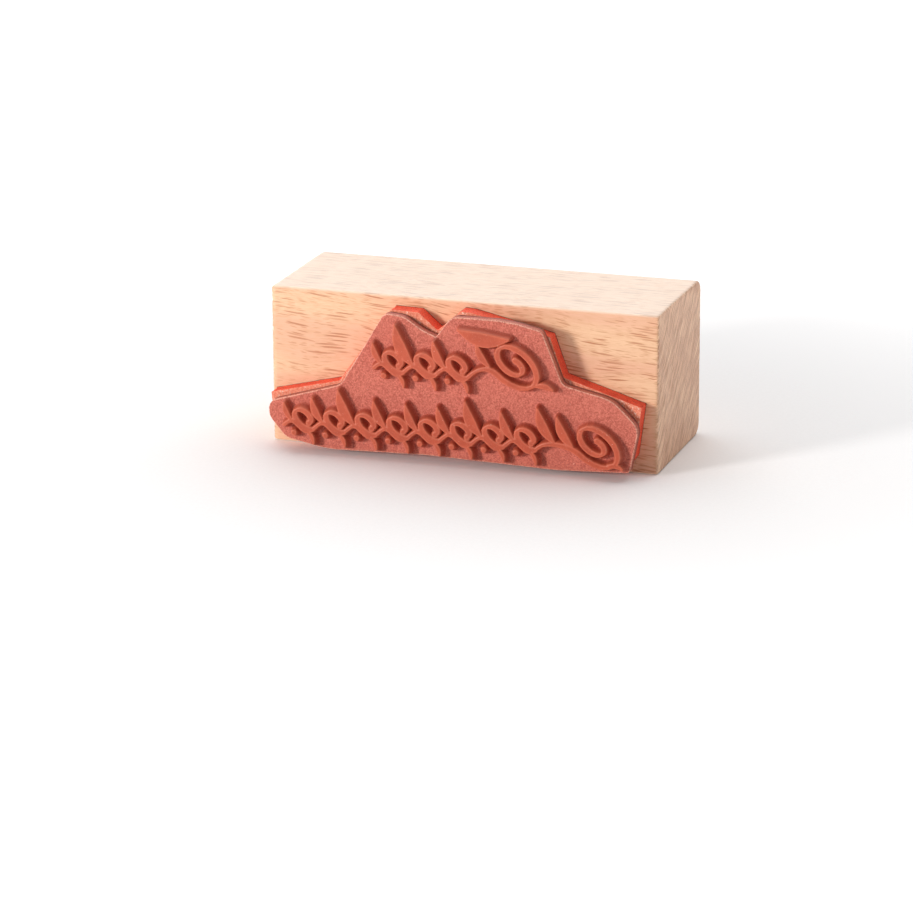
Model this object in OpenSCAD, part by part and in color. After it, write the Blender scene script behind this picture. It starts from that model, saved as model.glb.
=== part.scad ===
// Wood-mounted rubber stamp, standing on one of its long narrow faces.
// X runs along the block and its grain, -Y is the printing side, +Y the index side, +Z is up.
// The origin is the middle of the face that the block stands on. Sizes are in millimetres.

/* [Wood block] */
// Length of the block, along the grain
block_length = 65; // [50:1:90]
// Depth of the block, from the printing side to the index side
block_depth = 25; // [18:1:40]
// Height of the block as it stands
block_height = 26; // [20:1:40]
// Radius of the two long edges at the index side, where the fingers hold it
grip_edge_radius = 2; // [0.5:0.1:4]
// Radius of the two long edges at the printing side
die_edge_radius = 0.4; // [0.1:0.1:1]

/* [Cushion and die] */
// Thickness of each of the two adhesive films
film_thickness = 0.1; // [0.05:0.05:0.2]
// Thickness of the foam cushion
cushion_thickness = 2.6; // [1:0.1:5]
// Thickness of the rubber behind the raised motif
plate_thickness = 1.6; // [0.8:0.1:3]
// How far the motif stands up from the rubber around it
relief_height = 1.5; // [0.6:0.1:2]

/* [Index print] */
// Thickness of the ink on the wood
ink_thickness = 0.1; // [0.05:0.05:0.2]

/* [Motif] */
// Widest that the broad pen draws the vines and curls
pen_width = 0.85; // [0.7:0.05:1.2]
// Width of a leaf for each millimetre of its length
leaf_fullness = 0.26; // [0.18:0.02:0.34]
// Radius of a berry
berry_radius = 0.5; // [0.3:0.05:0.7]

/* [Hidden] */

// The outlines are drawn for a block of this length and height, and stretch with it.
drawn_length = 65;
drawn_height = 26;
stretch = [block_length / drawn_length, block_height / drawn_height];

// Places of the layers, from the wood outwards along -Y
die_side = -block_depth / 2;
cushion_back = die_side - film_thickness;
cushion_front = cushion_back - cushion_thickness;
die_back = cushion_front - film_thickness;
die_floor = die_back - plate_thickness;
printing_face = die_floor - relief_height;
index_side = block_depth / 2;

// A round edge or corner is drawn with one point for about this many degrees
corner_step = 12;
// A curl or scroll is drawn with one point for about this many degrees
curl_step = 18;
$fn = 64;

// Corners of the knife-cut foam: [along the block from its middle, height, corner radius]
cushion_corners = [
    [-31.7, 9.0, 0],
    [-19.9, 11.9, 0],
    [-11.0, 24.4, 0],
    [-6.4, 24.3, 0],
    [-3.2, 21.6, 0],
    [0.7, 25.0, 0],
    [2.5, 24.9, 0],
    [15.5, 22.0, 0],
    [17.8, 15.6, 0],
    [30.6, 11.7, 0],
    [29.5, 3.2, 1],
    [28.3, 1.6, 0.5],
    [-20.5, 1.2, 4],
    [-28.0, 2.2, 3],
    [-31.3, 6.0, 1],
];

// Corners of the trimmed rubber, which has rounder turns than the foam
die_corners = [
    [-31.5, 7.9, 1.6],
    [-19.1, 11.6, 2.5],
    [-11.6, 24.1, 1.4],
    [-8.3, 23.8, 3],
    [-5.2, 21.8, 3],
    [-2.9, 20.9, 0],
    [-0.3, 24.4, 2.4],
    [9.0, 24.4, 14],
    [14.6, 23.2, 1.2],
    [18.1, 14.7, 1.6],
    [26.2, 13.0, 6],
    [30.6, 8.7, 2.6],
    [29.1, 1.3, 0.4],
    [17.0, 0.7, 20],
    [-5.0, 1.2, 20],
    [-21.5, 0.7, 10],
    [-28.6, 2.0, 3],
    [-31.4, 5.4, 2],
];

// The motif leans by this much along X for each millimetre of height
lean = -0.5;
// Direction of the pen's flat nib, and its thinnest line as a share of its widest
nib = [cos(30), sin(30)];
thinnest = 0.42;

// Each row: the vine's first X, the length of one wave, the waves' height to either side,
// and the height of the row's axis
lower_row = [-28.3, 5.35, 0.8, 4.6];
upper_row = [-12.9, 5.35, 0.8, 15.4];
// In each wave a curl hangs over the trough: its centre from the trough, its outer and inner
// radius, the direction of its outer end and how far it winds, clockwise when negative
curl_place = [-0.5, 1.4];
curl_radii = [1.9, 0.85];
curl_start = -78;
curl_turn = -350;
// Size of the ball at a curl's heart and of the berry below each crest, as shares of berry_radius
ball_share = 0.84;
crest_berry_share = 0.8;
// Place of that berry: along X from the crest, and below the axis in wave heights
crest_berry_place = [0.3, 1.5];
// Length of the tendril below each trough, and the half width of every leaf's tip
tendril_length = 2.2;
leaf_tip = 0.1;
// Length of the leaf on each crest, from the left
lower_leaves = [3.0, 4.3, 6.2, 4.8, 4.6, 4.6, 6.2, 4.8];
upper_leaves = [3.4, 7.0, 4.6];
// The large scroll that ends each row: its inner radius, the direction of its outer end and
// how far it winds, then [X, height, radius] for each row
scroll_inner_radius = 0.9;
scroll_start = 205;
scroll_turn = 560;
lower_scroll = [23.9, 5.9, 4.0];
upper_scroll = [10.4, 17.9, 4.2];
// Leaves around the scrolls: [X of the base, height of the base, length, direction]
scroll_leaves = [
    [17.2, 5.6, 6.0, 118],
    [20.2, 5.2, 5.2, 120],
    [26.0, 2.7, 2.4, -12],
    [9.6, 21.8, 8.4, 174],
    [6.4, 17.2, 4.0, 122],
    [13.9, 14.6, 3.0, -8],
];

// ---- plane geometry ----

function unit(v) = v / norm(v);

function turned(v, angle) = [
    v.x * cos(angle) - v.y * sin(angle),
    v.x * sin(angle) + v.y * cos(angle)
];

function backwards(list) = [for (i = [len(list) - 1:-1:0]) list[i]];

// Points of one rounded corner between its two neighbours
function corner_points(before, corner, after, radius) =
    let (
        to_before = unit(before - corner),
        to_after = unit(after - corner),
        half_angle = acos(to_before * to_after) / 2,
        run = radius / tan(half_angle),
        centre = corner + unit(to_before + to_after) * radius / sin(half_angle),
        first = corner + to_before * run - centre,
        sweep = 180 - 2 * half_angle,
        way = cross(first, corner + to_after * run - centre) > 0 ? 1 : -1,
        steps = max(1, round(sweep / corner_step))
    )
    radius == 0 ? [corner]
    : [for (i = [0:steps]) centre + turned(first, way * sweep * i / steps)];

// A closed outline with each corner rounded by its own radius
function rounded_outline(corners) =
    let (
        count = len(corners),
        points = [for (c = corners) [c.x, c.y]]
    )
    [
        for (i = [0:count - 1])
            for (p = corner_points(
                points[(i + count - 1) % count],
                points[i],
                points[(i + 1) % count],
                corners[i].z
            ))
                p
    ];

// ---- pen strokes ----

function direction(line, i) = unit(line[min(i + 1, len(line) - 1)] - line[max(i - 1, 0)]);

// Half width of a broad pen's line at each point, which depends on the way it is moving
function pen_halves(line) = [
    for (i = [0:len(line) - 1])
        let (across_nib = abs(cross(direction(line, i), nib)))
        pen_width / 2 * (thinnest + (1 - thinnest) * across_nib)
];

// One edge of a stroke, on the left of its line (side = 1) or on the right (side = -1)
function stroke_edge(line, halves, side) = [
    for (i = [0:len(line) - 1])
        line[i] + side * halves[i] * turned(direction(line, i), 90)
];

// A stroke along a line, with round ends
module stroke(line, halves) {
    last = len(line) - 1;
    end_turns = [45, 90, 135];
    polygon(concat(
        stroke_edge(line, halves, -1),
        [for (a = end_turns) line[last] + halves[last] * turned(direction(line, last), a - 90)],
        backwards(stroke_edge(line, halves, 1)),
        [for (a = end_turns) line[0] + halves[0] * turned(direction(line, 0), a + 90)]
    ));
}

module pen_stroke(line) {
    stroke(line, pen_halves(line));
}

// A point on a cubic curve, from 0 at its start to 1 at its end
function bezier(start, start_handle, end_handle, end, share) =
    let (rest = 1 - share)
    rest * rest * rest * start
    + 3 * rest * rest * share * start_handle
    + 3 * rest * share * share * end_handle
    + share * share * share * end;

function leaned(p, axis_height) = [p.x + lean * (p.y - axis_height), p.y];

// ---- the motif: vines, leaves, curls and berries, with no lettering ----

// A leaf that grows from a base point, pointed at both ends
module leaf(base, length, angle, bend = 0.1) {
    steps = 10;
    along = turned([length, 0], angle);
    across = turned([0, length * bend], angle);
    stroke(
        [for (i = [0:steps]) base + along * i / steps + across * sin(180 * i / steps)],
        [for (i = [0:steps]) leaf_tip + (length * leaf_fullness / 2 - leaf_tip) * sin(180 * i / steps)]
    );
}

// A curl that winds in from an outer point to a round ball at its heart
function curl_line(centre, outer_radius, inner_radius, from_angle, turn) =
    let (steps = ceil(abs(turn) / curl_step))
    [
        for (i = [0:steps])
            let (
                angle = from_angle + turn * i / steps,
                radius = outer_radius + (inner_radius - outer_radius) * i / steps
            )
            leaned(centre + radius * [cos(angle), sin(angle)], centre.y)
    ];

module curl(line) {
    pen_stroke(line);
    translate(line[len(line) - 1])
        circle(berry_radius * ball_share);
}

// One line: the waves of the vine, their run down into the scroll, and the scroll
function vine_line(start, wave, swing, axis_height, waves, scroll_line) =
    let (
        steps_per_wave = 12,
        wave_end = [start + wave * waves, axis_height],
        into_scroll = unit(scroll_line[1] - scroll_line[0]) * wave / 3,
        lead_steps = 8
    )
    concat(
        [
            for (i = [0:waves * steps_per_wave])
                [start + wave * i / steps_per_wave, axis_height + swing * sin(360 * i / steps_per_wave)]
        ],
        [
            for (i = [1:lead_steps - 1])
                bezier(
                    wave_end,
                    wave_end + [wave, wave] / 4,
                    scroll_line[0] - into_scroll,
                    scroll_line[0],
                    i / lead_steps
                )
        ],
        scroll_line
    );

module motif_row(row, leaf_lengths, scroll) {
    start = row[0];
    wave = row[1];
    swing = row[2];
    axis_height = row[3];
    waves = len(leaf_lengths);
    lean_angle = atan2(1, lean);
    scroll_line = curl_line(
        [scroll.x, scroll.y], scroll.z, scroll_inner_radius, scroll_start, scroll_turn
    );
    curl(vine_line(start, wave, swing, axis_height, waves, scroll_line));
    for (i = [0:waves - 1]) {
        crest = start + wave * (i + 0.25);
        trough = start + wave * (i + 0.75);
        leaf([crest, axis_height + swing], leaf_lengths[i], lean_angle);
        leaf([trough, axis_height - swing], tendril_length, lean_angle + 180);
        translate([crest + crest_berry_place.x, axis_height - crest_berry_place.y * swing])
            circle(berry_radius * crest_berry_share);
        curl(curl_line(
            [trough, axis_height] + curl_place, curl_radii[0], curl_radii[1], curl_start, curl_turn
        ));
    }
}

module motif() {
    scale([stretch.x, stretch.y]) {
        motif_row(lower_row, lower_leaves, lower_scroll);
        motif_row(upper_row, upper_leaves, upper_scroll);
        for (place = scroll_leaves)
            leaf([place[0], place[1]], place[2], place[3]);
    }
}

// ---- the layers ----

// A flat shape drawn in X and Z, made solid from one Y to a larger one
module layer(from_y, to_y) {
    translate([0, to_y, 0])
        rotate([90, 0, 0])
            linear_extrude(to_y - from_y)
                children();
}

module cut_shape(corners) {
    scale([stretch.x, stretch.y])
        polygon(rounded_outline(corners));
}

// Cross-section of the block: a rectangle whose long edges have their own radii
module block_section() {
    grip = grip_edge_radius;
    edge = die_edge_radius;
    for (z = [edge, block_height - edge])
        translate([die_side + edge, z])
            circle(edge);
    for (z = [grip, block_height - grip])
        translate([index_side - grip, z])
            circle(grip);
    translate([die_side, edge])
        square([grip + edge, block_height - 2 * edge]);
    translate([die_side + edge, 0])
        square([block_depth - edge - grip, block_height]);
    translate([index_side - grip, grip])
        square([grip, block_height - 2 * grip]);
}

module wood_block() {
    color("burlywood")
        translate([-block_length / 2, 0, 0])
            rotate([90, 0, 90])
                linear_extrude(block_length)
                    block_section();
}

// Film between the wood and the foam
module block_adhesive() {
    color("gainsboro")
        layer(cushion_back, die_side)
            cut_shape(cushion_corners);
}

module foam_cushion() {
    color("orangered")
        layer(cushion_front, cushion_back)
            cut_shape(cushion_corners);
}

// Film between the foam and the rubber, only where both are
module die_adhesive() {
    color("gainsboro")
        layer(die_back, cushion_front)
            intersection() {
                cut_shape(cushion_corners);
                cut_shape(die_corners);
            }
}

// The rubber is one moulding: a plate with the motif standing up from it
module rubber_die() {
    color("indianred") {
        layer(die_floor, die_back)
            cut_shape(die_corners);
        layer(printing_face, die_floor)
            motif();
    }
}

// The same motif printed on the opposite face, where it is seen the right way round
module index_print() {
    color("black")
        layer(index_side, index_side + ink_thickness)
            motif();
}

wood_block();
block_adhesive();
foam_cushion();
die_adhesive();
rubber_die();
index_print();
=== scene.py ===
import math

import bpy
import numpy as np
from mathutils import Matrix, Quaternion, Vector, geometry, noise


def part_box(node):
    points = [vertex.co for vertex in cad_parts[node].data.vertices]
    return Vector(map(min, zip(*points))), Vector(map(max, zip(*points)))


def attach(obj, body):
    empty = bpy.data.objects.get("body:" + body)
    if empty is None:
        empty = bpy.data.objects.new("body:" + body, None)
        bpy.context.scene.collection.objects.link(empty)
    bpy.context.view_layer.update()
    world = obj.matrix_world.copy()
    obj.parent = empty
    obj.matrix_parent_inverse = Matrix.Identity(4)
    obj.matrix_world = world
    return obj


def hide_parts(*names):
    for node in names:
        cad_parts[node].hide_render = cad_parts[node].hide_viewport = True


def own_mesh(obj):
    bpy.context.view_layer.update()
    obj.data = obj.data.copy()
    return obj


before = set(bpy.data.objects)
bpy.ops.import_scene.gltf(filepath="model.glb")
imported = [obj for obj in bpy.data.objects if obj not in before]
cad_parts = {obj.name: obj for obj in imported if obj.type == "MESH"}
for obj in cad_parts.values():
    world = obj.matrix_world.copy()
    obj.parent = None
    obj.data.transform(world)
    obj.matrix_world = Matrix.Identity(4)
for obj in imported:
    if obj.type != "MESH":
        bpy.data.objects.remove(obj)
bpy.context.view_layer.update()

# The row frame: X along the block and its grain, -Y out of the printing side, +Z up.
# Lengths in this script are in millimetres, and MM turns them into Blender's metres.
MM = 0.001

# Camera, in the row frame
CAMERA_PLACE = Vector((200.2, -613.6, 193.7))
CAMERA_AIM = Vector((-0.3036, 0.9069, -0.2922))
CAMERA_ROLL = math.radians(-0.26)
CAMERA_LENS = 162.7
SENSOR = 36.0

# Wood block
GRIP_RADIUS = 2.0       # long edges at the index side
DIE_EDGE_RADIUS = 0.45  # long edges at the printing side
WORN_BEVEL = 0.75       # sanded edge of the -X end
SAWN_BEVEL = 0.35       # sharper edge of the +X end
SAW_FUZZ = 0.16         # depth of the notches that broken fibres leave round both ends
BLOCK_PITCH = 0.3       # spacing of points across a face
BLOCK_SECTIONS = 60     # cross-sections between the two ends
CORNER_STEPS = 8        # steps round a long edge
BEVEL_STEPS = 5         # steps round an end's edge

# Rubber die
DIE_PITCH = 0.1        # grid of the moulded surface
SHOULDER = 0.62        # width of the slope from a raised stroke down to the floor
FLOOR_GRAIN = 0.024    # height of the grain of the floor
CREST_HIGHLIGHT_WIDTH = 0.14     # width of the painted highlight, a paler line round the top of a stroke
CUT_EDGE = 0.09        # rounding of the trimmed rim
SNIP_DEPTH = 0.03      # how far the trimming cuts stray from the outline
DIE_WALL_STEPS = 10

# Foam cushion
FOAM_PITCH = 0.2
FOAM_EDGE = 0.06       # rounding of the front edge
FOAM_SKIN = 0.02       # height of the grain of the front skin
FOAM_CELL = 0.035      # depth of the open cells on the knife-cut walls
FOAM_SWELL = 0.04      # how far those walls wander between back and front
FOAM_WAIST = 0.05      # how far they draw in half way
FOAM_WALL_STEPS = 12

# Ink of the index print
INK_HEIGHT = 0.03
INK_SINK = 0.02        # how far the print reaches into the wood
INK_EDGE_STEP = 0.12
INK_BLEED = 0.035      # how far the ink's edge wanders along the fibres

# Studio: light levels are shares of a white surface's full brightness
LIT_PLACE = (0, -8, 12)
KEY_PLACE = (-400, -500, 148)
KEY_SIZE = 110
KEY_LEVEL = 0.80
OVERHEAD_PLACE = (-60, 420, 820)
OVERHEAD_SIZE = 1300
OVERHEAD_LEVEL = 1.08
FILL_LEVEL = 0.25
FLOOR_REACH = 3000.0
FLOOR_HEIGHT = -0.02
GLOW_RANGE = (20, 320)  # distances at which the floor starts to glow and glows in full


# ---------------------------------------------------------------- outlines from the CAD model

def node_box(node):
    """Lowest and highest corner of a CAD node, in millimetres."""
    low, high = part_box(node)
    return np.array(low) / MM, np.array(high) / MM


def face_loops(node, y):
    """Closed loops of (x, z) points round the CAD faces of a node that lie flat at y."""
    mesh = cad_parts[node].data
    coords = np.array([v.co for v in mesh.vertices]) / MM
    places = [(round(float(x), 4), round(float(z), 4)) for x, _, z in coords]
    flat = np.abs(coords[:, 1] - y) < 1e-3
    edges = set()
    for face in mesh.polygons:
        corners = list(face.vertices)
        if not flat[corners].all():
            continue
        for a, b in zip(corners, corners[1:] + corners[:1]):
            edge = (places[a], places[b])
            if edge[::-1] in edges:
                edges.remove(edge[::-1])
            else:
                edges.add(edge)
    following = {}
    for a, b in sorted(edges):
        following.setdefault(a, []).append(b)
    loops = []
    while following:
        start = min(following)
        loop = [start]
        while True:
            ahead = following[loop[-1]]
            step = ahead.pop()
            if not ahead:
                del following[loop[-1]]
            if step == start:
                break
            loop.append(step)
        loops.append(np.array(loop))
    return loops


def area(loop):
    """Signed area of a closed loop, positive when it runs anticlockwise seen from -Y."""
    x, z = loop[:, 0], loop[:, 1]
    return 0.5 * float(np.sum(x * np.roll(z, -1) - np.roll(x, -1) * z))


def outer_loop(node, y):
    """The largest loop of a node's faces at y, anticlockwise."""
    loop = max(face_loops(node, y), key=lambda one: abs(area(one)))
    return loop if area(loop) > 0 else loop[::-1]


def resampled(loop, step):
    """The loop with extra points, so that none is further than step from the next."""
    points = []
    for a, b in zip(loop, np.roll(loop, -1, axis=0)):
        count = max(1, math.ceil(np.linalg.norm(b - a) / step))
        points += [a + (b - a) * i / count for i in range(count)]
    return np.array(points)


def rounded(loop, times):
    """Softens corners a little by averaging each point with its two neighbours."""
    for _ in range(times):
        loop = 0.5 * loop + 0.25 * (np.roll(loop, 1, axis=0) + np.roll(loop, -1, axis=0))
    return loop


def outward(loop):
    """Unit normals that point out of an anticlockwise loop, at each of its points."""
    along = np.roll(loop, -1, axis=0) - np.roll(loop, 1, axis=0)
    along /= np.linalg.norm(along, axis=1)[:, None]
    return np.stack([along[:, 1], -along[:, 0]], axis=1)


def signed_distance(points, loops, reach):
    """Distance of each point from the nearest edge, positive inside the loops, cut off at reach."""
    distance = np.full(len(points), float(reach))
    inside = np.zeros(len(points), bool)
    order = np.argsort(points[:, 1], kind="stable")
    x, z = points[order, 0], points[order, 1]
    near = distance[order]
    within = inside[order]
    for loop in loops:
        for a, b in zip(loop, np.roll(loop, -1, axis=0)):
            low, high = sorted((a[1], b[1]))
            first, last = np.searchsorted(z, (low, high))
            if last > first:
                cross = a[0] + (z[first:last] - a[1]) * (b[0] - a[0]) / (b[1] - a[1])
                within[first:last] ^= x[first:last] < cross
            first, last = np.searchsorted(z, (low - reach, high + reach))
            left, right = min(a[0], b[0]) - reach, max(a[0], b[0]) + reach
            pick = first + np.nonzero((x[first:last] > left) & (x[first:last] < right))[0]
            if len(pick) == 0:
                continue
            span = b - a
            share = ((x[pick] - a[0]) * span[0] + (z[pick] - a[1]) * span[1]) / (span @ span)
            share = np.clip(share, 0, 1)
            gap = np.hypot(x[pick] - a[0] - share * span[0], z[pick] - a[1] - share * span[1])
            near[pick] = np.minimum(near[pick], gap)
    distance[order] = np.where(within, near, -near)
    return distance


def smooth_step(share):
    """Eases a share from 0 to 1 with level ends, and holds it outside them."""
    share = np.clip(share, 0, 1)
    return share * share * (3 - 2 * share)


def grain(points, size, seed=0.0):
    """Smooth noise from -1 to 1 at each 3D point, with features of about the given size."""
    shift = Vector((seed * 7.1, seed * 3.7, seed * 5.3))
    return np.array([noise.noise(Vector(p) / size + shift) for p in points])


# ---------------------------------------------------------------- meshes

# What Blender's triangulation is asked for: triangles inside the loops, or whole faces without the holes
INSIDE, WITHOUT_HOLES = 1, 5
MERGE_DISTANCE = 1e-7


def flat_region(outline, pitch):
    """Fills an outline with square cells, and with triangles between them and the outline.
    Returns the points, the faces and the indices of the outline's own points."""
    low, high = outline.min(axis=0), outline.max(axis=0)
    columns, rows = np.ceil((high - low) / pitch).astype(int) + 1
    xs = low[0] + pitch * np.arange(columns)
    zs = low[1] + pitch * np.arange(rows)
    grid = np.stack(np.meshgrid(xs, zs), axis=-1)
    depth = signed_distance(grid.reshape(-1, 2), [outline], 2 * pitch).reshape(rows, columns)
    deep = depth > 0.6 * pitch
    cells = deep[:-1, :-1] & deep[1:, :-1] & deep[:-1, 1:] & deep[1:, 1:]

    number = -np.ones((rows, columns), int)
    used = np.zeros((rows, columns), bool)
    for dr in (0, 1):
        for dc in (0, 1):
            used[dr:rows - 1 + dr, dc:columns - 1 + dc] |= cells
    number[used] = np.arange(used.sum())
    points = [tuple(p) for p in grid[used]]
    faces = [
        (number[r, c], number[r, c + 1], number[r + 1, c + 1], number[r + 1, c])
        for r, c in zip(*np.nonzero(cells))
    ]

    edges = {}
    for face in faces:
        for a, b in zip(face, face[1:] + face[:1]):
            key = (min(a, b), max(a, b))
            edges[key] = edges.get(key, 0) + 1
    open_edges = [edge for edge, count in edges.items() if count == 1]
    first_rim = len(points)
    points += [tuple(p) for p in outline]
    rim = list(range(first_rim, len(points)))
    chosen = sorted({i for edge in open_edges for i in edge}) + rim
    place = {index: k for k, index in enumerate(chosen)}
    fixed = [(place[a], place[b]) for a, b in open_edges]
    fixed += [(place[a], place[b]) for a, b in zip(rim, rim[1:] + rim[:1])]
    corners = [Vector(points[i]) for i in chosen]
    found = geometry.delaunay_2d_cdt(corners, fixed, [], INSIDE, MERGE_DISTANCE)
    ring_points, _, triangles, sources = found[:4]
    middles = np.array([
        sum((Vector(ring_points[i]) for i in t), Vector((0, 0))) / 3 for t in triangles
    ])
    cell_of = np.floor((middles - low) / pitch).astype(int)
    for t, (column, row) in zip(triangles, cell_of):
        in_grid = 0 <= row < rows - 1 and 0 <= column < columns - 1
        if not (in_grid and cells[row, column]):
            faces.append(tuple(chosen[sources[i][0]] for i in t))
    return np.array(points), faces, rim


def filled(loops):
    """Flat faces inside closed loops. Known fault: the three holes of the index print come out filled,
    though Blender is asked to leave holes out.
    Returns the points, the faces, anticlockwise in (x, z), and the edges round them."""
    points = np.concatenate(loops)
    edges = []
    start = 0
    for loop in loops:
        edges += [(start + i, start + (i + 1) % len(loop)) for i in range(len(loop))]
        start += len(loop)
    corners = [Vector(p) for p in points]
    found = geometry.delaunay_2d_cdt(corners, edges, [], WITHOUT_HOLES, MERGE_DISTANCE)
    faces = [tuple(face) for face in found[2]]
    sides = {(a, b) for face in faces for a, b in zip(face, face[1:] + face[:1])}
    return np.array(found[0]), faces, sorted((a, b) for a, b in sides if (b, a) not in sides)


def make_object(name, points, faces, material, sharp=None, attributes=None):
    """A mesh object from points in millimetres. sharp is the angle above which an edge shows."""
    mesh = bpy.data.meshes.new(name)
    vertices = [tuple(p) for p in np.asarray(points) * MM]
    mesh.from_pydata(vertices, [], [tuple(map(int, face)) for face in faces])
    mesh.validate()
    mesh.polygons.foreach_set("use_smooth", [True] * len(mesh.polygons))
    if sharp is not None:
        mesh.set_sharp_from_angle(angle=math.radians(sharp))
    for key, values in (attributes or {}).items():
        layer = mesh.attributes.new(key, "FLOAT", "POINT")
        layer.data.foreach_set("value", np.asarray(values, np.float32))
    mesh.materials.append(material)
    obj = bpy.data.objects.new(name, mesh)
    bpy.context.scene.collection.objects.link(obj)
    return obj


def slab(outline, pitch, front, rings):
    """A thick sheet cut to an outline. front gives y at (x, z) points of its front face, and rings
    are the wall's loops from front to back, as (distance out of the outline, y).
    Returns the points, the faces and how many points the front has."""
    flat, faces, rim = flat_region(outline, pitch)
    front_y = front(flat)
    points = np.stack([flat[:, 0], front_y, flat[:, 1]], axis=1)
    count = len(points)
    normals = outward(outline)
    loops = [rim]
    walls = []
    for out, y in rings:
        ring = outline + normals * np.broadcast_to(out, len(rim))[:, None]
        walls.append(np.stack([ring[:, 0], np.full(len(rim), y), ring[:, 1]], axis=1))
        start = count + len(rim) * (len(walls) - 1)
        loops.append(list(range(start, start + len(rim))))
    for nearer, further in zip(loops, loops[1:]):
        for i in range(len(rim)):
            j = (i + 1) % len(rim)
            faces.append((nearer[i], further[i], further[j], nearer[j]))
    faces.append(tuple(reversed(loops[-1])))
    return np.concatenate([points] + walls), faces, count


def dress(obj, body, replaced):
    """Puts a piece on its CAD body and hides the CAD node that it stands for."""
    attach(obj, body)
    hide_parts(replaced)
    return obj


# ---------------------------------------------------------------- finishes

class Finish:
    """A material's node tree, with a short call for each kind of node used here."""

    def __init__(self, name):
        self.material = bpy.data.materials.new(name)
        self.material.use_nodes = True
        self.tree = self.material.node_tree
        self.shader = self.tree.nodes["Principled BSDF"]
        self.coords = self.add("ShaderNodeTexCoord")
        self.place = self.scaled(self.coords.outputs["Object"], (1 / MM,) * 3)

    def add(self, kind, inputs=None, **settings):
        node = self.tree.nodes.new(kind)
        for key, value in settings.items():
            setattr(node, key, value)
        for key, value in (inputs or {}).items():
            self.put(node.inputs[key], value)
        return node

    def put(self, socket, value):
        if isinstance(value, bpy.types.NodeSocket):
            self.tree.links.new(value, socket)
        else:
            socket.default_value = value

    def vector(self, operation, a, b):
        return self.add("ShaderNodeVectorMath", {0: a, 1: b}, operation=operation).outputs["Vector"]

    def scaled(self, vector, sizes):
        return self.vector("MULTIPLY", vector, sizes)

    def stretched(self, vector, size, turn=(0, 0, 0)):
        """Coordinates in which a cell is size millimetres along X, Y and Z, turned by degrees."""
        node = self.add("ShaderNodeVectorRotate", {"Vector": vector}, rotation_type="EULER_XYZ")
        node.inputs["Rotation"].default_value = [math.radians(angle) for angle in turn]
        return self.scaled(node.outputs["Vector"], [1 / side for side in size])

    def noise(self, vector, detail=2.0, roughness=0.5, colour=False):
        node = self.add("ShaderNodeTexNoise", {
            "Vector": vector, "Scale": 1.0, "Detail": detail, "Roughness": roughness,
        })
        return node.outputs["Color" if colour else "Fac"]

    def cells(self, vector, dimensions="3D"):
        inputs = {"Vector": vector, "Scale": 1.0}
        node = self.add("ShaderNodeTexVoronoi", inputs, voronoi_dimensions=dimensions)
        return node.outputs["Distance"], node.outputs["Color"]

    def math(self, operation, a, b=0.0, c=0.0):
        return self.add("ShaderNodeMath", {0: a, 1: b, 2: c}, operation=operation).outputs[0]

    def spread(self, value, low, high, to_low=0.0, to_high=1.0, smooth=True):
        """value mapped from low..high to to_low..to_high, and held at the ends."""
        node = self.add("ShaderNodeMapRange", {"Value": value, "From Min": low, "From Max": high,
                                              "To Min": to_low, "To Max": to_high})
        node.interpolation_type = "SMOOTHSTEP" if smooth else "LINEAR"
        return node.outputs["Result"]

    def mix(self, share, a, b):
        """Colour or vector a, b or what lies between them. The numbers are the node's RGBA sockets."""
        node = self.add("ShaderNodeMix", data_type="RGBA")
        self.put(node.inputs[0], share)
        self.put(node.inputs[6], self.opaque(a))
        self.put(node.inputs[7], self.opaque(b))
        return node.outputs[2]

    @staticmethod
    def opaque(colour):
        """A plain colour gets an alpha of 1, and a socket stays as it is."""
        return colour if isinstance(colour, bpy.types.NodeSocket) else (*colour, 1.0)

    def attribute(self, name):
        return self.add("ShaderNodeAttribute", attribute_name=name).outputs["Fac"]

    def split(self, vector):
        return self.add("ShaderNodeSeparateXYZ", {"Vector": vector}).outputs

    def bump(self, height, distance, strength):
        inputs = {"Height": height, "Distance": distance * MM, "Strength": strength}
        return self.add("ShaderNodeBump", inputs).outputs["Normal"]

    def surface(self, **values):
        for key, value in values.items():
            socket = self.shader.inputs[key.replace("_", " ")]
            self.put(socket, self.opaque(value) if socket.type == "RGBA" else value)
        return self.material


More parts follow.
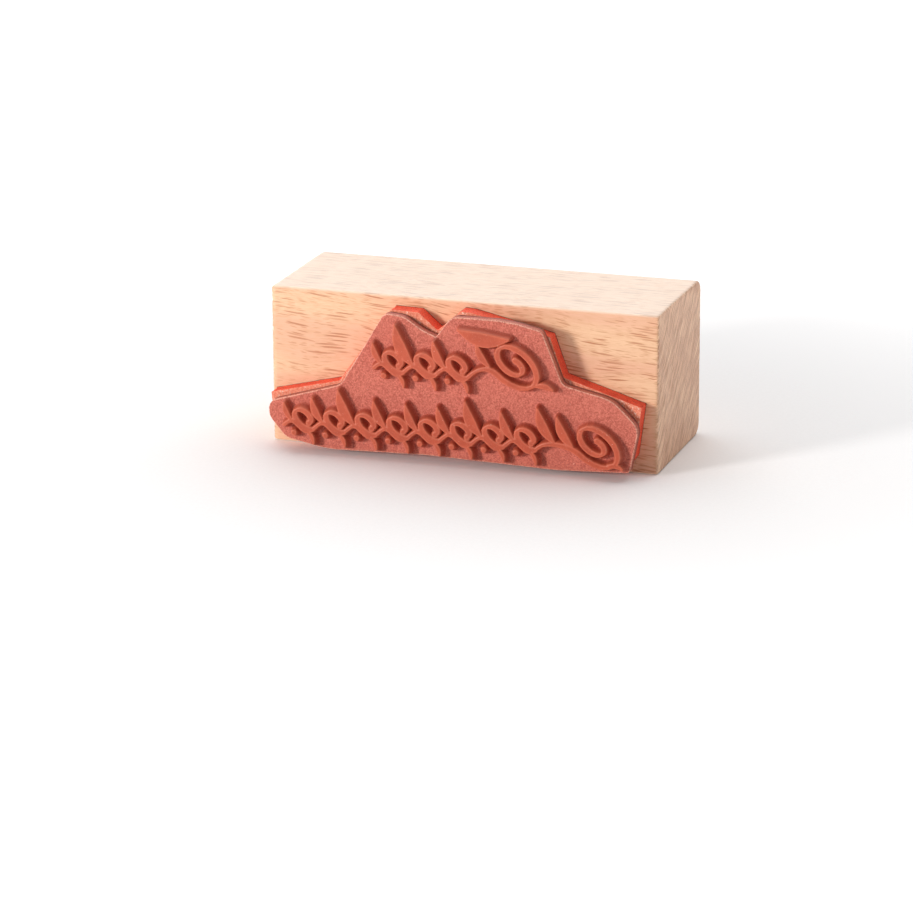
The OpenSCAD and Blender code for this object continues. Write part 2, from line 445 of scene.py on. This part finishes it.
def beech_finish():
    """Sanded, unvarnished beech: ray flecks on the long faces, growth rings and pores on the ends."""
    f = Finish("beech")
    half_length = float(node_box("wood_block")[1][0])
    normal = f.split(f.coords.outputs["Normal"])
    frayed = f.noise(f.stretched(f.place, (3.0, 0.35, 0.35)), detail=2.0, roughness=0.7)
    from_middle = f.math("ABSOLUTE", f.split(f.place)[0])
    torn = f.spread(f.math("MULTIPLY_ADD", frayed, 3.4, from_middle), half_length + 1.66, half_length + 1.8)
    facing_end = f.spread(f.math("ABSOLUTE", normal[0]), 0.5, 0.7)
    end = f.math("MAXIMUM", facing_end, f.math("MULTIPLY", torn, 0.8))
    upright = f.math("ABSOLUTE", normal[2])
    broad = f.math("GREATER_THAN", upright, 0.7)
    drift = f.noise(f.stretched(f.place, (20, 30, 9)), detail=1.0, colour=True)
    wander = f.scaled(f.vector("SUBTRACT", drift, (0.5, 0.5, 0.5)), (0, 3.0, 3.6))
    wood = f.vector("ADD", f.place, wander)
    x, y, z = f.split(wood)

    # Ray flecks: thin lenses along the grain, a set of its own on each long face, crowded in drifts
    apart = 37.0  # far enough to give each side its own part of the pattern
    side = f.math("MULTIPLY", f.math("SIGN", f.split(f.place)[1]), apart)
    across = f.math("ADD", f.math("MULTIPLY_ADD", x, 0.08, z), side)
    across = f.math("ADD", f.math("MULTIPLY", f.math("SUBTRACT", y, across), broad), across)
    drifts = f.spread(f.noise(f.stretched(wood, (9, 4, 2.2)), detail=1.0), 0.3, 0.7, -0.3, 0.3)

    def flecks(along, beside, length, thickness, radii, present):
        """Lens-shaped marks from 0 to 1, at most length by thickness millimetres."""
        flat = f.add("ShaderNodeCombineXYZ", {
            "X": f.math("DIVIDE", along, length), "Y": f.math("DIVIDE", beside, thickness),
        }).outputs[0]
        distance, tint = f.cells(flat, dimensions="2D")
        chance, width, strength = f.split(tint)
        radius = f.spread(width, 0, 1, *radii, smooth=False)
        mark = f.spread(f.math("SUBTRACT", 1.0, f.math("DIVIDE", distance, radius)), 0.0, 0.5)
        mark = f.math("MULTIPLY", mark, f.spread(strength, 0, 1, 0.35, 1.0, smooth=False))
        return f.math("MULTIPLY", mark, f.spread(f.math("ADD", chance, drifts), present, present + 0.1))

    long_flecks = flecks(x, across, 6.6, 0.44, (0.18, 0.44), 0.36)
    short_flecks = flecks(x, across, 2.2, 0.25, (0.2, 0.5), 0.5)

    seasons = f.noise(f.stretched(wood, (90, 3.2, 5)), detail=1.0)
    fibres = f.noise(f.stretched(wood, (5, 0.13, 0.13)), detail=3.0, roughness=0.7)
    mottle = f.noise(f.stretched(wood, (2.6, 1.2, 0.7)), detail=3.0, roughness=0.65)

    pale, warm, pink = (0.79, 0.502, 0.31), (0.64, 0.33, 0.183), (0.745, 0.42, 0.27)
    colour = f.mix(f.spread(seasons, 0.35, 0.65), pale, pink)
    colour = f.mix(f.spread(mottle, 0.42, 0.72, 0.0, 0.35), colour, warm)
    colour = f.mix(f.spread(fibres, 0.42, 0.72, 0.0, 0.5), colour, warm)
    colour = f.mix(f.math("MULTIPLY", short_flecks, 0.6), colour, (0.50, 0.185, 0.08))
    colour = f.mix(f.math("MULTIPLY", long_flecks, 0.9), colour, (0.455, 0.165, 0.068))

    # The two broad faces are painted paler: painted light for the brightly lit top, with their own fibres
    # and flecks in it
    painted_top_light = f.mix(f.spread(fibres, 0.4, 0.72), (0.95, 0.745, 0.59), (0.86, 0.595, 0.44))
    painted_top_light = f.mix(f.math("MULTIPLY", short_flecks, 0.3), painted_top_light, (0.52, 0.31, 0.22))
    painted_top_light = f.mix(f.math("MULTIPLY", long_flecks, 0.62), painted_top_light, (0.46, 0.27, 0.20))
    colour = f.mix(f.spread(upright, 0.2, 0.98), colour, painted_top_light)

    # The sawn ends: slanting rays, growth rings across them, and open pores
    slant = (42, 0, 0)
    _, beside_ray, along_ray = f.split(f.stretched(wood, (1, 1, 1), slant))
    rays = flecks(along_ray, beside_ray, 12, 1.1, (0.15, 0.27), 0.1)
    streaks = f.noise(f.stretched(f.place, (40, 0.36, 4.5), slant), detail=3.0, roughness=0.65)
    rings = f.noise(f.stretched(wood, (40, 30, 2.4), slant), detail=2.0)
    pores = f.noise(f.stretched(f.place, (0.5, 0.14, 0.18), slant), detail=2.0, roughness=0.7)
    sawn = f.mix(f.spread(streaks, 0.42, 0.60), (0.90, 0.57, 0.375), (0.60, 0.315, 0.19))
    sawn = f.mix(f.spread(rings, 0.4, 0.65, 0.0, 0.2), sawn, (0.56, 0.29, 0.165))
    sawn = f.mix(f.spread(pores, 0.52, 0.70, 0.0, 0.6), sawn, (0.42, 0.21, 0.12))
    sawn = f.mix(f.math("MULTIPLY", rays, 0.8), sawn, (1.0, 0.72, 0.49))
    edge = f.spread(from_middle, half_length - 0.8, half_length, 0.0, 0.45)
    colour = f.mix(f.math("MULTIPLY", edge, f.spread(mottle, 0.3, 0.6)), colour, (0.50, 0.27, 0.13))
    colour = f.mix(end, colour, sawn)

    relief = f.math("MULTIPLY_ADD", long_flecks, -0.5, f.math("MULTIPLY", fibres, 0.5))
    sides = f.bump(relief, 0.05, 0.4)
    rough_end = f.bump(f.math("ADD", streaks, pores), 0.12, 0.6)
    normal_map = f.mix(end, sides, rough_end)
    gloss = f.spread(fibres, 0.3, 0.7, 0.42, 0.58)
    shine = f.math("MULTIPLY", broad, 0.3)
    return f.surface(
        Base_Color=colour, Roughness=gloss, Normal=normal_map, Specular_IOR_Level=0.45,
        Sheen_Weight=shine, Sheen_Roughness=0.4,
    )


def rubber_finish():
    """Matt vulcanised rubber: grainy and dusty on the floor, smoother on the raised strokes."""
    f = Finish("rubber")
    back = node_box("rubber_die")[1][1]
    raised = f.attribute("raised")
    crest = f.attribute("crest")
    cut = f.attribute("cut")
    fine = f.noise(f.stretched(f.place, (0.24, 0.24, 0.24)), detail=3.0, roughness=0.7)
    coarse = f.noise(f.stretched(f.place, (2.5, 2.5, 2.5)), detail=3.0, roughness=0.6)
    dust = f.noise(f.stretched(f.place, (0.36, 0.36, 0.36)), detail=2.0, roughness=0.8)

    floor = f.mix(f.spread(fine, 0.3, 0.7), (0.34, 0.062, 0.040), (0.66, 0.185, 0.128))
    floor = f.mix(f.spread(coarse, 0.35, 0.7, 0.0, 0.35), floor, (0.52, 0.125, 0.085))
    stroke = f.mix(f.spread(coarse, 0.3, 0.7), (0.48, 0.079, 0.035), (0.40, 0.063, 0.028))
    stroke = f.mix(f.spread(fine, 0.5, 0.75, 0.0, 0.3), stroke, (0.64, 0.19, 0.115))
    # Painted highlight: a paler line round the top edge of each stroke
    stroke = f.mix(f.math("MULTIPLY", crest, 0.35), stroke, (0.72, 0.20, 0.115))
    colour = f.mix(f.spread(raised, 0.15, 0.8), floor, stroke)
    # Painted shade: the slopes of the strokes are darkened to a deep red-brown
    slope_shade = f.math("MULTIPLY", f.math("MULTIPLY", raised, f.math("SUBTRACT", 1.0, raised)), 2.2)
    colour = f.mix(slope_shade, colour, (0.30, 0.042, 0.019))
    colour = f.mix(f.spread(dust, 0.66, 0.76, 0.0, 0.55), colour, (0.84, 0.52, 0.42))
    # The trimmed rim is paler where the cut scuffed it, and partly a painted highlight on its rounded edge
    colour = f.mix(f.math("MULTIPLY", cut, f.spread(fine, 0.3, 0.6)), colour, (0.80, 0.42, 0.31))

    # Painted shade: the trimmed wall darkens towards the adhesive, for the shadow in the gap under the
    # die's rim
    gap_shade = f.spread(f.split(f.place)[1], float(back) - 1.0, float(back) - 0.15, 0.0, 0.75)
    colour = f.mix(gap_shade, colour, (0.17, 0.032, 0.018))

    grains = f.bump(fine, 0.06, 0.9)
    smoother = f.bump(fine, 0.018, 0.8)
    normal_map = f.mix(f.spread(raised, 0.3, 0.9), grains, smoother)
    gloss = f.spread(raised, 0.3, 1.0, 0.58, 0.42)
    return f.surface(Base_Color=colour, Roughness=gloss, Normal=normal_map, Specular_IOR_Level=0.3)


def foam_finish():
    """Fine-celled foam: a dusty peach skin on its front and saturated red-orange where it is cut."""
    f = Finish("foam")
    skin = f.attribute("skin")
    distance, _ = f.cells(f.stretched(f.place, (0.27, 0.27, 0.27)))
    fine = f.noise(f.stretched(f.place, (0.4, 0.4, 0.4)), detail=3.0, roughness=0.75)
    long_wave = f.noise(f.stretched(f.place, (2.0, 2.0, 2.0)), detail=3.0, roughness=0.6)
    dust = f.noise(f.stretched(f.place, (0.5, 0.5, 0.5)), detail=3.0, roughness=0.8)

    wall = f.mix(f.spread(distance, 0.05, 0.5), (0.50, 0.032, 0.017), (0.93, 0.105, 0.05))
    wall = f.mix(f.spread(fine, 0.4, 0.7, 0.0, 0.55), wall, (0.92, 0.16, 0.085))
    wall = f.mix(f.spread(long_wave, 0.45, 0.75, 0.0, 0.45), wall, (0.55, 0.035, 0.018))
    wall = f.mix(f.spread(dust, 0.68, 0.78, 0.0, 0.45), wall, (0.95, 0.45, 0.30))
    face = f.mix(f.spread(fine, 0.3, 0.7), (0.66, 0.14, 0.075), (0.88, 0.34, 0.22))
    face = f.mix(f.spread(dust, 0.55, 0.70, 0.0, 0.85), face, (0.95, 0.72, 0.58))
    colour = f.mix(skin, wall, face)
    normal_map = f.bump(f.math("ADD", distance, fine), 0.09, 0.8)
    return f.surface(Base_Color=colour, Roughness=0.72, Normal=normal_map, Specular_IOR_Level=0.3)


def ink_finish():
    """Stamped black-brown ink, thinner along the wood's fibres."""
    f = Finish("ink")
    fibres = f.noise(f.stretched(f.place, (3.0, 0.3, 0.14)), detail=3.0, roughness=0.65)
    patches = f.noise(f.stretched(f.place, (2.2, 2.2, 1.6)), detail=2.0)
    colour = f.mix(f.spread(fibres, 0.35, 0.8), (0.012, 0.008, 0.009), (0.05, 0.026, 0.02))
    colour = f.mix(f.spread(patches, 0.55, 0.8, 0.0, 0.35), colour, (0.065, 0.036, 0.028))
    normal_map = f.bump(fibres, 0.03, 0.5)
    return f.surface(Base_Color=colour, Roughness=0.55, Normal=normal_map, Specular_IOR_Level=0.4)


def adhesive_finish():
    """Double-sided film, seen only as a thin edge that has picked up dust."""
    f = Finish("adhesive")
    fine = f.noise(f.stretched(f.place, (0.5, 0.2, 0.5)), detail=3.0, roughness=0.7)
    colour = f.mix(f.spread(fine, 0.35, 0.65), (0.07, 0.028, 0.018), (0.24, 0.10, 0.065))
    return f.surface(Base_Color=colour, Roughness=0.4, Normal=f.bump(fine, 0.02, 0.6))


def paper_finish():
    """Plain white studio paper that glows more and more away from the part, and so stays white."""
    f = Finish("studio_paper")
    tooth = f.noise(f.stretched(f.place, (0.6, 0.6, 0.6)), detail=2.0)
    shade = f.mix(f.spread(tooth, 0.3, 0.7), (0.94, 0.93, 0.932), (0.96, 0.952, 0.954))
    away = f.add("ShaderNodeVectorMath", {0: f.place}, operation="LENGTH").outputs["Value"]
    return f.surface(
        Base_Color=shade, Roughness=0.9, Specular_IOR_Level=0.1,
        Emission_Color=(1.0, 1.0, 1.0), Emission_Strength=f.spread(away, *GLOW_RANGE),
    )


# ---------------------------------------------------------------- pieces

def section_ring(x, inset):
    """The block's rounded cross-section at x, drawn in from its faces by inset."""
    low, high = node_box("wood_block")
    corners = [  # y, z, radius, first angle
        (low[1] + inset, low[2] + inset, DIE_EDGE_RADIUS, 180),
        (high[1] - inset, low[2] + inset, GRIP_RADIUS, 270),
        (high[1] - inset, high[2] - inset, GRIP_RADIUS, 0),
        (low[1] + inset, high[2] - inset, DIE_EDGE_RADIUS, 90),
    ]
    ring = []
    for y, z, radius, first in corners:
        radius = max(radius - inset, 0.1 * radius)  # an inset never makes a corner sharp
        middle_y = y + radius if y < 0 else y - radius
        middle_z = z + radius if z < high[2] / 2 else z - radius
        for i in range(CORNER_STEPS + 1):
            angle = math.radians(first + 90 * i / CORNER_STEPS)
            y_out, z_out = radius * math.cos(angle), radius * math.sin(angle)
            ring.append((x, middle_y + y_out, middle_z + z_out))
    ring = np.array(ring)
    face_steps = math.ceil((high[2] - low[2]) / BLOCK_PITCH)
    filled_in = []
    for a, b in zip(ring, np.roll(ring, -1, axis=0)):
        across_a_face = np.linalg.norm(b - a) > 2 * GRIP_RADIUS
        steps = face_steps if across_a_face else 1
        filled_in += [a + (b - a) * i / steps for i in range(steps)]
    return np.array(filled_in)


def end_rings(x, way, bevel):
    """Rings from one end inwards, with a ragged edge. way is 1 when inwards is towards +X."""
    rings = []
    for i in range(BEVEL_STEPS):
        angle = math.radians(90 * i / BEVEL_STEPS)
        ring = section_ring(x + way * bevel * (1 - math.cos(angle)), bevel * (1 - math.sin(angle)))
        fuzz = grain(ring * (0, 1, 1), 0.35, 11) + 0.5 * grain(ring * (0, 1, 1), 1.8, 12)
        ring[:, 0] += way * SAW_FUZZ * np.abs(fuzz)
        rings.append(ring)
    return rings


def make_wood_block():
    low, high = node_box("wood_block")
    rings = end_rings(low[0], 1, WORN_BEVEL)
    first, last = low[0] + WORN_BEVEL + SAW_FUZZ, high[0] - SAWN_BEVEL - SAW_FUZZ
    rings += [section_ring(x, 0.0) for x in np.linspace(first, last, BLOCK_SECTIONS)]
    rings += reversed(end_rings(high[0], -1, SAWN_BEVEL))
    size = len(rings[0])
    points = np.concatenate(rings)
    faces = []
    for s in range(len(rings) - 1):
        for i in range(size):
            j = (i + 1) % size
            a, b = s * size, (s + 1) * size
            faces.append((a + i, a + j, b + j, b + i))
    faces.append(tuple(reversed(range(size))))
    faces.append(tuple(range(len(points) - size, len(points))))
    obj = make_object("beech_block", points, faces, beech_finish(), sharp=40)
    return dress(obj, "block", "wood_block")


def make_foam_cushion():
    low, high = node_box("foam_cushion")
    outline = rounded(resampled(outer_loop("foam_cushion", low[1]), FOAM_PITCH), 1)
    thickness = high[1] - low[1]

    def front(flat):
        places = np.column_stack([flat, np.zeros(len(flat))])
        return low[1] + FOAM_SKIN + FOAM_SKIN * grain(places, 0.45, 1)

    rings = [(0.6 * FOAM_EDGE, low[1] + FOAM_SKIN + 0.5 * FOAM_EDGE)]
    for i in range(FOAM_WALL_STEPS + 1):
        share = i / FOAM_WALL_STEPS
        y = low[1] + FOAM_EDGE * 1.5 + (thickness - FOAM_EDGE * 1.5) * share
        places = np.column_stack([outline, np.full(len(outline), y)])
        cells = FOAM_CELL * grain(places, 0.5, 2) + FOAM_SWELL * grain(places, 2.5, 3)
        rings.append((FOAM_EDGE + cells - FOAM_WAIST * math.sin(math.pi * share), y))
    inner = outline - outward(outline) * FOAM_EDGE * 1.5
    points, faces, count = slab(inner, FOAM_PITCH, front, rings)
    skin = np.zeros(len(points))
    skin[:count] = 1.0
    obj = make_object("foam_pad", points, faces, foam_finish(), sharp=50, attributes={"skin": skin})
    dress(obj, "block", "foam_cushion")
    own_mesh(obj)
    return obj


def make_rubber_die():
    low, high = node_box("rubber_die")
    strokes = face_loops("rubber_die", low[1])
    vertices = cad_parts["rubber_die"].data.vertices
    levels = sorted({round(float(vertex.co.y) / MM, 3) for vertex in vertices})
    floor_y = levels[1]  # behind the strokes' tops, in front of the plate's back
    height = floor_y - low[1]
    outline = rounded(resampled(outer_loop("rubber_die", high[1]), DIE_PITCH), 6)
    measured = {}  # what front() learns about its points and the finish needs

    def front(flat):
        near = signed_distance(flat, strokes, 1.5 * SHOULDER)
        raised = smooth_step((near + SHOULDER) / SHOULDER)
        measured["raised"] = raised
        # How strongly the painted highlight round a stroke's top edge shows at each point
        measured["crest"] = raised * np.exp(-(np.maximum(near, 0) / CREST_HIGHLIGHT_WIDTH) ** 2)
        places = np.column_stack([flat, np.zeros(len(flat))])
        pebble = FLOOR_GRAIN * (grain(places, 0.28, 1) + 0.6 * grain(places, 0.7, 2))
        swell = 0.03 * grain(places, 5.0, 3)
        return floor_y - height * raised + (1 - raised) * (pebble + swell) + 0.004 * raised * pebble

    places = np.column_stack([outline, np.zeros(len(outline))])
    snips = SNIP_DEPTH * (grain(places, 1.6, 4) + 0.4 * grain(places, 0.3, 5))
    rings = [(0.3 * CUT_EDGE, floor_y + 0.1 * CUT_EDGE), (0.75 * CUT_EDGE, floor_y + 0.4 * CUT_EDGE)]
    wall_top = floor_y + CUT_EDGE
    for i in range(DIE_WALL_STEPS + 1):
        y = wall_top + (high[1] - wall_top) * i / DIE_WALL_STEPS
        places = np.column_stack([outline, np.full(len(outline), y)])
        rough = 0.4 * SNIP_DEPTH * grain(places, 0.35, 6)
        rings.append((CUT_EDGE + snips + rough, y))
    inner = outline - outward(outline) * CUT_EDGE
    points, faces, count = slab(inner, DIE_PITCH, front, rings)
    attributes = {key: np.zeros(len(points)) for key in ("raised", "crest", "cut")}
    for key, values in measured.items():
        attributes[key][:count] = values
    # The trimmed rim is pale round its edge, partly from the cut and partly as a painted highlight on its
    # rounding, and hardly at all down its wall
    edge_end = count + 3 * len(inner)
    attributes["cut"][count - len(inner):count] = 0.6
    attributes["cut"][count:edge_end] = 1.0
    attributes["cut"][edge_end:] = 0.12
    finish = rubber_finish()
    obj = make_object("rubber_stamp_die", points, faces, finish, sharp=60, attributes=attributes)
    return dress(obj, "die", "rubber_die")


def make_index_print():
    ink_y = node_box("index_print")[1][1]
    wood_y = node_box("wood_block")[1][1]
    loops = []
    for loop in face_loops("index_print", ink_y):
        fine = resampled(loop, INK_EDGE_STEP)
        places = np.column_stack([fine[:, 0] / 3, fine[:, 1], np.zeros(len(fine))])
        wander = INK_BLEED * (0.6 * grain(places, 0.25, 7) + 0.4 * grain(places, 0.9, 8))
        sign = 1 if area(loop) > 0 else -1
        loops.append(rounded(fine, 1) + sign * outward(fine) * wander[:, None])
    flat, fronts, rim = filled(loops)
    top = np.column_stack([flat[:, 0], np.full(len(flat), wood_y + INK_HEIGHT), flat[:, 1]])
    base = top - (0, INK_HEIGHT + INK_SINK, 0)
    points = np.concatenate([top, base])
    faces = [tuple(reversed(face)) for face in fronts]
    faces += [tuple(i + len(flat) for i in face) for face in fronts]
    faces += [(a, b, b + len(flat), a + len(flat)) for a, b in rim]
    obj = make_object("ink_print", points, faces, ink_finish(), sharp=30)
    return dress(obj, "block", "index_print")


def finish_adhesives():
    """The two films keep their CAD shape and get a detailed finish."""
    film = adhesive_finish()
    for node in ("block_adhesive", "die_adhesive"):
        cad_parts[node].data.materials[0] = film


# ---------------------------------------------------------------- studio

def make_floor():
    reach = FLOOR_REACH
    corners = [(-reach, -reach), (reach, -reach), (reach, reach), (-reach, reach)]
    points = [(x, y, FLOOR_HEIGHT) for x, y in corners]
    make_object("studio_floor", points, [(0, 1, 2, 3)], paper_finish())


def area_light(name, place, size, level, colour=(1.0, 1.0, 1.0)):
    """A square light that gives about level times a white surface's full brightness at the part."""
    light = bpy.data.lights.new(name, "AREA")
    light.shape = "SQUARE"
    light.size = size * MM
    light.color = colour
    beam = (Vector(LIT_PLACE) - Vector(place)) * MM
    light.energy = level * math.pi ** 2 * beam.length_squared
    obj = bpy.data.objects.new(name, light)
    obj.location = Vector(place) * MM
    obj.rotation_euler = beam.to_track_quat("-Z", "Y").to_euler()
    bpy.context.scene.collection.objects.link(obj)


def make_lights():
    """A warm key from the left, a broad light overhead, and a world that looks white but lights less."""
    area_light("key", KEY_PLACE, KEY_SIZE, KEY_LEVEL, (1.0, 0.985, 0.96))
    area_light("overhead", OVERHEAD_PLACE, OVERHEAD_SIZE, OVERHEAD_LEVEL)
    world = bpy.data.worlds.new("studio")
    world.use_nodes = True
    bpy.context.scene.world = world
    nodes, links = world.node_tree.nodes, world.node_tree.links
    sky = nodes["Background"]
    rays = nodes.new("ShaderNodeLightPath")
    seen = nodes.new("ShaderNodeMath")
    seen.operation = "MAXIMUM"
    level = nodes.new("ShaderNodeMapRange")
    level.inputs["To Min"].default_value = FILL_LEVEL
    level.inputs["To Max"].default_value = 1.0
    links.new(rays.outputs["Is Camera Ray"], seen.inputs[0])
    links.new(rays.outputs["Is Glossy Ray"], seen.inputs[1])
    links.new(seen.outputs[0], level.inputs["Value"])
    links.new(level.outputs["Result"], sky.inputs["Strength"])
    sky.inputs["Color"].default_value = (1.0, 1.0, 1.0, 1.0)


def make_camera():
    camera = bpy.data.cameras.new("camera")
    camera.sensor_width = SENSOR
    camera.lens = CAMERA_LENS
    camera.clip_start, camera.clip_end = 0.01, 20.0
    obj = bpy.data.objects.new("camera", camera)
    obj.location = CAMERA_PLACE * MM
    obj.rotation_mode = "QUATERNION"
    roll = Quaternion((0, 0, 1), CAMERA_ROLL)
    obj.rotation_quaternion = CAMERA_AIM.to_track_quat("-Z", "Y") @ roll
    bpy.context.scene.collection.objects.link(obj)
    bpy.context.scene.camera = obj


make_camera()
make_wood_block()
make_foam_cushion()
make_rubber_die()
make_index_print()
finish_adhesives()
make_floor()
make_lights()
bpy.context.scene.view_settings.view_transform = "Standard"
